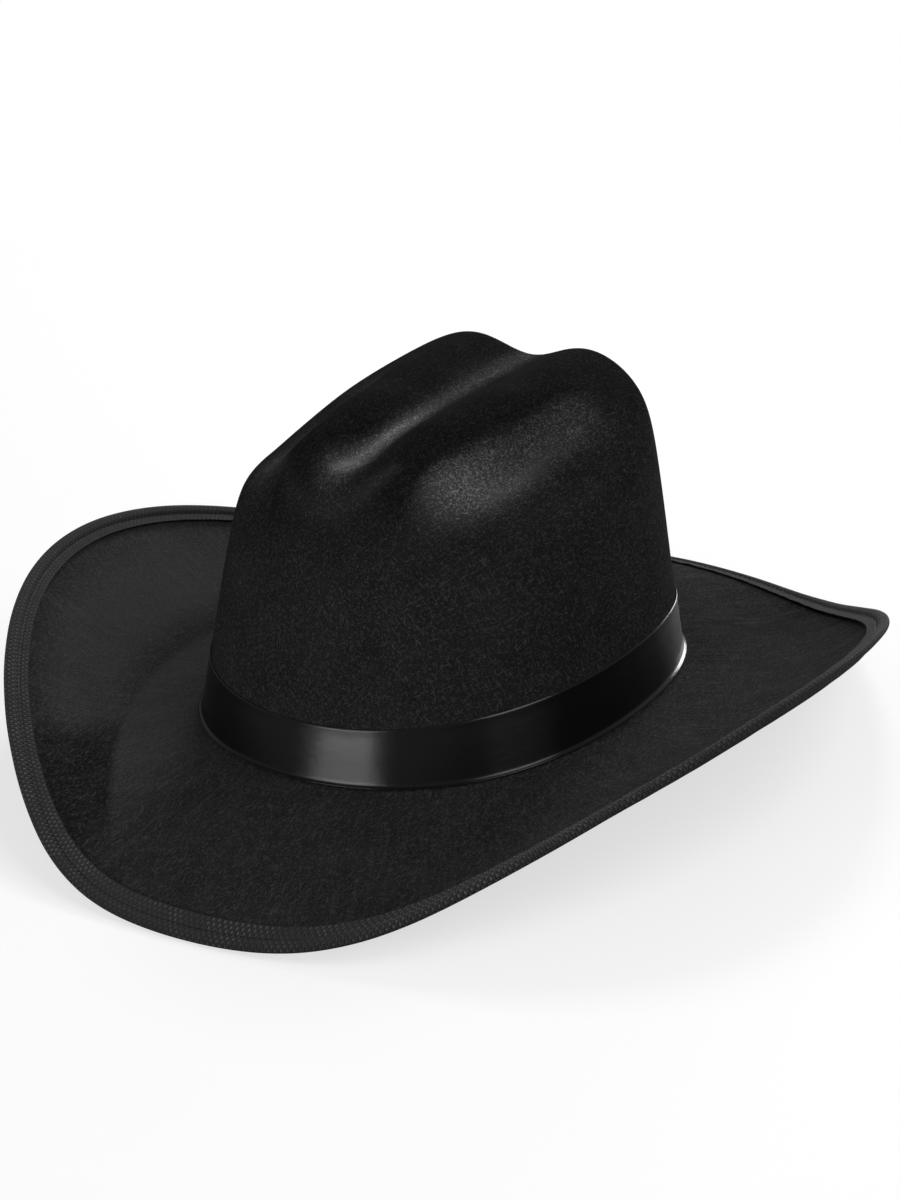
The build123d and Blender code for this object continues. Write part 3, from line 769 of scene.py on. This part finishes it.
class Finish:
    """A material whose nodes are added one after another."""

    def __init__(self, name, roughness, specular, **constants):
        self.material = bpy.data.materials.new(name)
        self.material.use_nodes = True
        self.tree = self.material.node_tree
        self.shader = self.tree.nodes["Principled BSDF"]
        self.shader.inputs["Roughness"].default_value = roughness
        self.shader.inputs["Specular IOR Level"].default_value = specular
        for label, value in constants.items():
            self.shader.inputs[label.replace("_", " ").title()].default_value = value

    def plug(self, socket, value):
        if isinstance(value, bpy.types.NodeSocket):
            self.tree.links.new(value, socket)
        else:
            socket.default_value = value

    def add(self, kind, settings=(), *values):
        """A node with its settings, and values or links for its first inputs."""
        node = self.tree.nodes.new(kind)
        for label, value in dict(settings).items():
            setattr(node, label, value)
        for socket, value in zip(node.inputs, values):
            self.plug(socket, value)
        return node

    def here(self):
        """Place on the piece, in metres."""
        return self.add("ShaderNodeTexCoord").outputs["Object"]

    def cloth(self):
        """Place along and across the cloth, in millimetres."""
        return self.add("ShaderNodeUVMap", {"uv_map": "cloth"}).outputs["UV"]

    def mark(self, name):
        """A value kept on the mesh's points."""
        return self.add("ShaderNodeAttribute", {"attribute_name": name}).outputs["Fac"]

    def sized(self, vector, size, turned=(0, 0, 0)):
        """Coordinates counted in features of a size, along turned axes."""
        turned = [math.radians(angle) for angle in turned]
        mapping = self.add("ShaderNodeMapping", {"vector_type": "TEXTURE"})
        for label, value in (("Vector", vector), ("Rotation", turned), ("Scale", size)):
            self.plug(mapping.inputs[label], value)
        return mapping.outputs[0]

    def noise(self, vector, detail=1.0, roughness=0.5):
        node = self.add("ShaderNodeTexNoise")
        values = {"Vector": vector, "Scale": 1.0, "Detail": detail, "Roughness": roughness}
        for label, value in values.items():
            self.plug(node.inputs[label], value)
        return node.outputs["Fac"]

    def maths(self, operation, *values):
        return self.add("ShaderNodeMath", {"operation": operation}, *values).outputs[0]

    def scaled_noise(self, vector, size, *settings, turned=(0, 0, 0)):
        return self.noise(self.sized(vector, size, turned), *settings)

    def vector_maths(self, operation, *values):
        return self.add("ShaderNodeVectorMath", {"operation": operation}, *values)

    def wave(self, along, pitch, low=0.0):
        """A smooth wave between low and 1."""
        swing = self.maths("SINE", self.maths("MULTIPLY", along, 2 * math.pi / pitch))
        return self.maths("MULTIPLY_ADD", swing, (1 - low) / 2, (1 + low) / 2)

    def total(self, *parts):
        """Sum of (value, share) pairs."""
        result = 0.0
        for value, share in parts:
            result = self.maths("MULTIPLY_ADD", value, share, result)
        return result

    def fit(self, value, low, high, to_low=0.0, to_high=1.0):
        """A value from low to high, smoothly turned into one from to_low to to_high."""
        return self.add("ShaderNodeMapRange", {"interpolation_type": "SMOOTHSTEP"},
                        value, low, high, to_low, to_high).outputs[0]

    def parts(self, vector):
        return self.add("ShaderNodeSeparateXYZ", {}, vector).outputs

    def mix(self, share, first, second):
        """Between two colours."""
        node = self.add("ShaderNodeMix", {"data_type": "RGBA"})
        for index, value in ((0, share), (6, (*first, 1)), (7, (*second, 1))):
            self.plug(node.inputs[index], value)
        return node.outputs[2]

    def raise_by(self, height, distance):
        """Bump of a height from 0 to 1, over a distance in metres."""
        bumped = self.add("ShaderNodeBump")
        self.plug(bumped.inputs["Height"], height)
        self.plug(bumped.inputs["Distance"], distance)
        for label in ("Normal", "Coat Normal"):
            self.plug(self.shader.inputs[label], bumped.outputs[0])

    def finish(self, **links):
        for label, value in links.items():
            self.plug(self.shader.inputs[label.replace("_", " ").title()], value)
        return self.material


# Which ways the felt's fibres lie, as turns in degrees.
FIBRE_LAYS = ((12, 35, 20), (70, -20, 65), (-38, 60, 110), (25, -70, 155), (95, 15, -40))


def fibres(cloth, vector, size, low, high):
    """Short fibres lying every way: the brightest of several stretched noises."""
    brightest = 0.0
    for lay in FIBRE_LAYS:
        layer = cloth.scaled_noise(vector, size, turned=lay)
        brightest = cloth.maths("MAXIMUM", brightest, cloth.fit(layer, low, high))
    return brightest


LONG_FIBRE = (0.0007, 0.0042, 0.0007)     # metres
SHORT_FIBRE = (0.0007, 0.0018, 0.0006)
CLOUD = (0.016, 0.016, 0.016)
STREAKS_PER_RADIAN = 75
STREAK_LENGTH = 0.022
DARK_FELT = (0.0025, 0.0025, 0.0025)
PALE_FELT = (0.046, 0.046, 0.046)


def felt_finish():
    """Pale fibres over a darker ground, radial streaks on the brim, a coat where the nap is flat.

    Painted light and shade too: paler zones on the brim and a highlight where the nap is flat,
    darker zones on the brim and towards the crown's top.
    """
    felt = Finish("felt", 0.98, 0.03, coat_roughness=0.39)
    here = felt.here()
    glaze_and_highlight_paint, brim, top_shade_paint, light_and_shade_paint = (felt.mark(name) for name in ("glaze_and_highlight_paint", "brim", "top_shade_paint", "light_and_shade_paint"))
    long = fibres(felt, here, LONG_FIBRE, 0.6, 0.77)
    short = fibres(felt, here, SHORT_FIBRE, 0.61, 0.78)
    cloudy = felt.scaled_noise(here, CLOUD, 3.0)
    x, y = felt.parts(here)[:2]
    flat = felt.add("ShaderNodeCombineXYZ", {}, x, y, 0.0).outputs[0]
    outward = felt.vector_maths("NORMALIZE", flat).outputs[0]
    reach = felt.vector_maths("LENGTH", flat).outputs["Value"]
    around = (STREAKS_PER_RADIAN, STREAKS_PER_RADIAN, 0)
    streak_place = felt.vector_maths("MULTIPLY", outward, around).outputs[0]
    lengths = felt.maths("DIVIDE", reach, STREAK_LENGTH)
    lengthwise = felt.add("ShaderNodeCombineXYZ", {}, 0.0, 0.0, lengths).outputs[0]
    radial = felt.vector_maths("ADD", streak_place, lengthwise).outputs[0]
    streaks = felt.fit(felt.noise(radial, 2.0, 0.6), 0.45, 0.75)
    streaks = felt.maths("MULTIPLY", streaks, brim)
    # Painted light and shade: nap and ground are paler where light is painted on the brim and as a
    # highlight where the nap is flat, and darker where shade is painted on the brim and the crown's
    # top.
    nap = felt.total((long, 0.76), (short, 0.5))
    nap_strength = felt.total((top_shade_paint, -0.62), (light_and_shade_paint, 0.8), (1.0, 1.0))
    ground = felt.total((cloudy, 0.25), (streaks, 0.15), (glaze_and_highlight_paint, 0.3),
                        (top_shade_paint, -0.2), (light_and_shade_paint, 0.85), (1.0, 0.11))
    light = felt.maths("MULTIPLY_ADD", nap, nap_strength, felt.maths("MAXIMUM", ground, 0.02))
    colour = felt.mix(light, DARK_FELT, PALE_FELT)
    glaze = felt.maths("MULTIPLY", glaze_and_highlight_paint, felt.total((long, 1.6), (short, 0.9), (1.0, 0.45)))
    rough = felt.total((streaks, -0.1), (brim, -0.2), (light_and_shade_paint, -0.3), (1.0, 0.98))
    felt.raise_by(felt.total((long, 0.6), (short, 0.4), (cloudy, 0.3)), 0.0003)
    return felt.finish(base_color=colour, roughness=rough, coat_weight=glaze)


TAPE_RIB = 1.15                           # pitch
TAPE_DOT_ROWS = 3.2                       # two rows of dots take this much width
TAPE_FRONT = (-0.06, -0.13)               # metres: the dots are plainer towards the front
SHADED_SEAM_BAND = (4.3, 5.2, 5.5, 6.4)          # shade painted along the groove of the tape's seam
TAPE_DARK = (0.0055, 0.0055, 0.0056)
TAPE_PALE = (0.108, 0.108, 0.11)


def tape_finish():
    """Tape with fine ribs across it, and rows of dots where a yarn floats over two ribs.

    The dots are raised and smoother, and their paler colour is a painted highlight on the floats.
    Shade is painted along the seam's groove.
    """
    tape = Finish("binding_tape", 0.75, 0.15, sheen_weight=0.04, sheen_roughness=0.4)
    along, across = tape.parts(tape.cloth())[:2]
    rib = tape.wave(along, TAPE_RIB)
    dots_along = tape.wave(along, 2 * TAPE_RIB, -1.0)
    float_row = tape.maths("MULTIPLY", dots_along, tape.wave(across, TAPE_DOT_ROWS, -1.0))
    front = tape.fit(tape.parts(tape.here())[1], *TAPE_FRONT, 0.4, 1.0)
    dot = tape.maths("MULTIPLY", tape.fit(float_row, 0.15, 0.85), front)
    # Shade painted on the tape along the groove of its seam.
    seam_from = tape.fit(across, *SHADED_SEAM_BAND[:2])
    seam = tape.maths("MULTIPLY", seam_from, tape.fit(across, *SHADED_SEAM_BAND[:1:-1]))
    fuzz = tape.scaled_noise(tape.here(), (0.0006, 0.0006, 0.0006), 2.0)
    patchy = tape.scaled_noise(tape.here(), (0.012, 0.012, 0.012), 2.0)
    uneven = tape.fit(patchy, 0.38, 0.6, 0.25, 1.0)
    weave = tape.total((rib, 0.35), (dot, 0.8), (fuzz, 0.3))
    # The dots' paler colour is a painted highlight on the floats.
    dot_highlight_paint = tape.maths("MULTIPLY", dot, uneven)
    light = tape.total((rib, 0.16), (dot_highlight_paint, 0.6), (fuzz, 0.2), (seam, -0.14))
    colour = tape.mix(tape.maths("MAXIMUM", light, 0.0), TAPE_DARK, TAPE_PALE)
    tape.raise_by(weave, 0.0004)
    return tape.finish(base_color=colour, roughness=tape.fit(dot, 0, 1, 0.85, 0.6))


def satin_finish():
    """Satin: floats of warp along the ribbon, so light spreads up and down across it."""
    satin = Finish("satin_ribbon", 0.3, 0.47, anisotropic=1.0, anisotropic_rotation=0.25)
    tangent = satin.add("ShaderNodeTangent", {"direction_type": "UV_MAP", "uv_map": "cloth"})
    satin.plug(satin.shader.inputs["Tangent"], tangent.outputs[0])
    cloth = satin.cloth()
    slubs = satin.scaled_noise(cloth, (9.0, 0.16, 1), 2.0, 0.6)
    picks = satin.scaled_noise(cloth, (0.12, 1.8, 1))
    sag = satin.scaled_noise(cloth, (26, 9, 1), 2.0)
    light = satin.total((slubs, 0.6), (picks, 0.3))
    colour = satin.mix(light, (0.0012, 0.0012, 0.0014), (0.0035, 0.0035, 0.0042))
    satin.raise_by(satin.total((slubs, 0.06), (sag, 0.5)), 0.0003)
    return satin.finish(base_color=colour, roughness=satin.fit(slubs, 0.3, 0.7, 0.2, 0.26))


def thread_finish():
    """Spun thread, its plies twisted round it."""
    thread = Finish("thread", 0.6, 0.35, sheen_weight=0.1, sheen_roughness=0.4)
    ply = thread.scaled_noise(thread.here(), (0.0002, 0.0012, 0.0002), turned=(40, 35, 30))
    colour = thread.mix(thread.fit(ply, 0.35, 0.65), (0.009, 0.009, 0.0095), (0.04, 0.04, 0.042))
    thread.raise_by(ply, 0.00008)
    return thread.finish(base_color=colour)


def woven_finish(name, dark, pale, rib, pick):
    """Plain cotton tape with ribs across it; rib and pick are their pitches in millimetres."""
    cotton = Finish(name, 0.85, 0.2, sheen_weight=0.15, sheen_roughness=0.5)
    along, across = cotton.parts(cotton.cloth())[:2]
    ribs = cotton.wave(along, rib)
    picks = cotton.wave(across, pick)
    fuzz = cotton.scaled_noise(cotton.here(), (0.0009, 0.0009, 0.0009), 3.0)
    patchy = cotton.scaled_noise(cotton.here(), (0.02, 0.02, 0.02), 2.0)
    weave = cotton.total((ribs, 0.5), (cotton.maths("MULTIPLY", ribs, picks), 0.3), (fuzz, 0.4))
    colour = cotton.mix(cotton.total((weave, 0.6), (patchy, 0.4)), dark, pale)
    cotton.raise_by(weave, 0.0003)
    return cotton.finish(base_color=colour)


def metal_finish(name, dark, pale, roughness, grain):
    """Drawn or stamped metal with scratches along it and dull patches."""
    metal = Finish(name, roughness, 0.5, metallic=1.0)
    scratches = metal.scaled_noise(metal.here(), grain, 3.0, 0.7)
    dull = metal.scaled_noise(metal.here(), (0.006, 0.006, 0.006), 2.0)
    colour = metal.mix(metal.total((scratches, 0.6), (dull, 0.4)), dark, pale)
    metal.raise_by(scratches, 0.00003)
    rough = metal.fit(dull, 0.3, 0.7, roughness, roughness + 0.2)
    return metal.finish(base_color=colour, roughness=rough)


# ---- assemble --------------------------------------------------------------------------------

def dress(thing, finish, slot, *nodes):
    """Gives a piece its material; slot is not used.

    With nodes, it rides on the body and replaces them.
    """
    thing.data.materials.clear()
    thing.data.materials.append(finish)
    if nodes:
        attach(thing, "root")
        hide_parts(*nodes)


SWEAT_DARK, SWEAT_PALE = (0.008, 0.008, 0.0085), (0.036, 0.036, 0.039)
SEAM_TAPE_DARK, SEAM_TAPE_PALE = (0.006, 0.006, 0.0065), (0.028, 0.028, 0.03)
STEEL_DARK, STEEL_PALE = (0.25, 0.25, 0.26), (0.45, 0.45, 0.46)
FERRULE_DARK, FERRULE_PALE = (0.5, 0.5, 0.52), (0.72, 0.72, 0.74)

thread = thread_finish()
tape = tape_finish()
sweat_cotton = woven_finish("sweatband_cloth", SWEAT_DARK, SWEAT_PALE, 1.1, 0.6)
seam_cotton = woven_finish("seam_tape", SEAM_TAPE_DARK, SEAM_TAPE_PALE, 0.6, 0.45)
wire_steel = metal_finish("wire", STEEL_DARK, STEEL_PALE, 0.3, (0.003, 0.003, 0.0002))
ferrule_metal = metal_finish("ferrule", FERRULE_DARK, FERRULE_PALE, 0.35, (0.0002, 0.003, 0.0002))

dress(make_felt(), felt_finish(), "felt", "felt_body")
dress(make_binding(), tape, "binding_tape", "edge_binding")
dress(make_ribbon(), satin_finish(), "satin_ribbon", "hatband")
dress(make_sweatband(), sweat_cotton, "sweatband_cloth", "sweatband")
dress(make_seam_tape(), seam_cotton, "seam_tape", "sweatband_seam_tape")
needle_stitches, bobbin_stitches = make_binding_stitches()
dress(needle_stitches, thread, "thread", "binding_needle_thread")
dress(bobbin_stitches, thread, "thread", "binding_bobbin_thread")
dress(make_sweatband_stitches(), thread, "thread", "sweatband_thread")
dress(make_lap_stitches(), thread, "thread", "hatband_stitches")
dress(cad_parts["brim_wire"], wire_steel, "wire")
dress(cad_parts["wire_ferrule"], ferrule_metal, "ferrule")


# ---- floor, light and camera -----------------------------------------------------------------

def plain_mix(tree, shader_for_camera, shader_for_light):
    """Shows one shader to the camera, and another to the hat: no metal or glass shows on it."""
    path = tree.nodes.new("ShaderNodeLightPath")
    chosen = tree.nodes.new("ShaderNodeMixShader")
    tree.links.new(path.outputs["Is Camera Ray"], chosen.inputs[0])
    tree.links.new(shader_for_light, chosen.inputs[1])
    tree.links.new(shader_for_camera, chosen.inputs[2])
    return chosen.outputs[0]


WHITE = (1, 1, 1, 1)
WORLD_FILL = 0.22


def make_world():
    world = bpy.data.worlds.new("studio")
    bpy.context.scene.world = world
    world.use_nodes = True
    tree = world.node_tree
    fill = tree.nodes["Background"]
    fill.inputs["Color"].default_value = WHITE
    fill.inputs["Strength"].default_value = WORLD_FILL
    white = tree.nodes.new("ShaderNodeBackground")
    white.inputs["Color"].default_value = WHITE
    white.inputs["Strength"].default_value = 1.0
    chosen = plain_mix(tree, white.outputs[0], fill.outputs[0])
    tree.links.new(chosen, tree.nodes["World Output"].inputs["Surface"])


FLOOR_SIZE = 30
FLOOR_GAP = 0.0002                        # keeps the floor just below the hat
FLOOR_PAPER = 0.36
FLOOR_GLOW = 0.68                         # brings the paper up to white for the camera only
BACKDROP_RANGE = (0.35, 1.1)              # the floor goes over into the backdrop here, in metres


def make_floor():
    """Plain white floor that keeps the hat's shadow, and goes over into a white backdrop far off."""
    bpy.ops.mesh.primitive_plane_add(size=FLOOR_SIZE, location=(0, 0, cad_low.z - FLOOR_GAP))
    floor = bpy.context.active_object
    floor.name = "floor"
    paper = Finish("floor_paper", 0.9, 0.1)
    material = paper.finish(base_color=(FLOOR_PAPER, FLOOR_PAPER, FLOOR_PAPER, 1))
    plain = paper.shader.outputs[0]
    glow = paper.add("ShaderNodeEmission", {}, WHITE, FLOOR_GLOW).outputs[0]
    lifted = paper.add("ShaderNodeAddShader", {}, plain, glow).outputs[0]
    backdrop = paper.add("ShaderNodeEmission", {}, WHITE, 1.0).outputs[0]
    reach = paper.vector_maths("LENGTH", paper.here()).outputs["Value"]
    far = paper.fit(reach, *BACKDROP_RANGE)
    seen = paper.add("ShaderNodeMixShader", {}, far, lifted, backdrop).outputs[0]
    output = paper.tree.nodes["Material Output"]
    paper.plug(output.inputs["Surface"], plain_mix(paper.tree, seen, plain))
    floor.data.materials.append(material)


LIGHTS_AIM = Vector((0, 0, 0.05))


def softbox(name, azimuth, elevation, distance, width, height, level):
    """Area light; azimuth is from -Y towards +X, and level is how bright white cloth facing it gets."""
    azimuth, elevation = math.radians(azimuth), math.radians(elevation)
    flat = math.cos(elevation)
    toward = (math.sin(azimuth) * flat, -math.cos(azimuth) * flat, math.sin(elevation))
    place = distance * Vector(toward)
    light = bpy.data.lights.new(name, "AREA")
    light.shape = "RECTANGLE"
    light.size = width
    light.size_y = height
    light.energy = level * math.pi**2 * distance**2
    thing = bpy.data.objects.new(name, light)
    thing.location = LIGHTS_AIM + place
    thing.rotation_euler = (-place).to_track_quat("-Z", "Y").to_euler()
    bpy.context.scene.collection.objects.link(thing)


# Degrees, and millimetres from the middle of the band line.
CAMERA = {"azimuth": 30.68, "elevation": 21.34, "roll": -2.19,
          "distance": 1000.0, "right": 1.03, "up": 31.44}
FOCAL_SHARE = 2554.0 / 1200.0             # focal length as a share of the picture's height
SENSOR = 36.0


def make_camera():
    """The camera is placed against the level band line, and tips into the frame with the hat."""
    azimuth, elevation, roll = (math.radians(CAMERA[k]) for k in ("azimuth", "elevation", "roll"))
    flat = math.cos(elevation)
    backward = np.array([math.sin(azimuth) * flat, -math.cos(azimuth) * flat, math.sin(elevation)])
    level = np.array([math.cos(azimuth), math.sin(azimuth), 0])
    upright = np.cross(backward, level)
    right = level * math.cos(roll) + upright * math.sin(roll)
    up = upright * math.cos(roll) - level * math.sin(roll)
    place = right * CAMERA["right"] + up * CAMERA["up"] + backward * CAMERA["distance"]
    columns = [into_frame(axis) / MM for axis in (right, up, backward)] + [into_frame(place)]
    camera = bpy.data.objects.new("camera", bpy.data.cameras.new("camera"))
    camera.matrix_world = Matrix([[*row] for row in np.array(columns).T]).to_4x4()
    camera.data.sensor_width = SENSOR
    camera.data.lens = SENSOR * FOCAL_SHARE
    bpy.context.scene.collection.objects.link(camera)
    bpy.context.scene.camera = camera


make_world()
make_floor()
softbox("key", -165, 45, 1.7, 0.42, 0.42, 0.36)
softbox("rim", 180, 10, 1.7, 0.5, 0.5, 0.28)
softbox("fill", 90, 48, 1.6, 1.0, 1.0, 0.42)
softbox("front", -13, 12, 1.6, 0.75, 0.5, 0.36)
make_camera()
bpy.context.scene.view_settings.view_transform = "Standard"
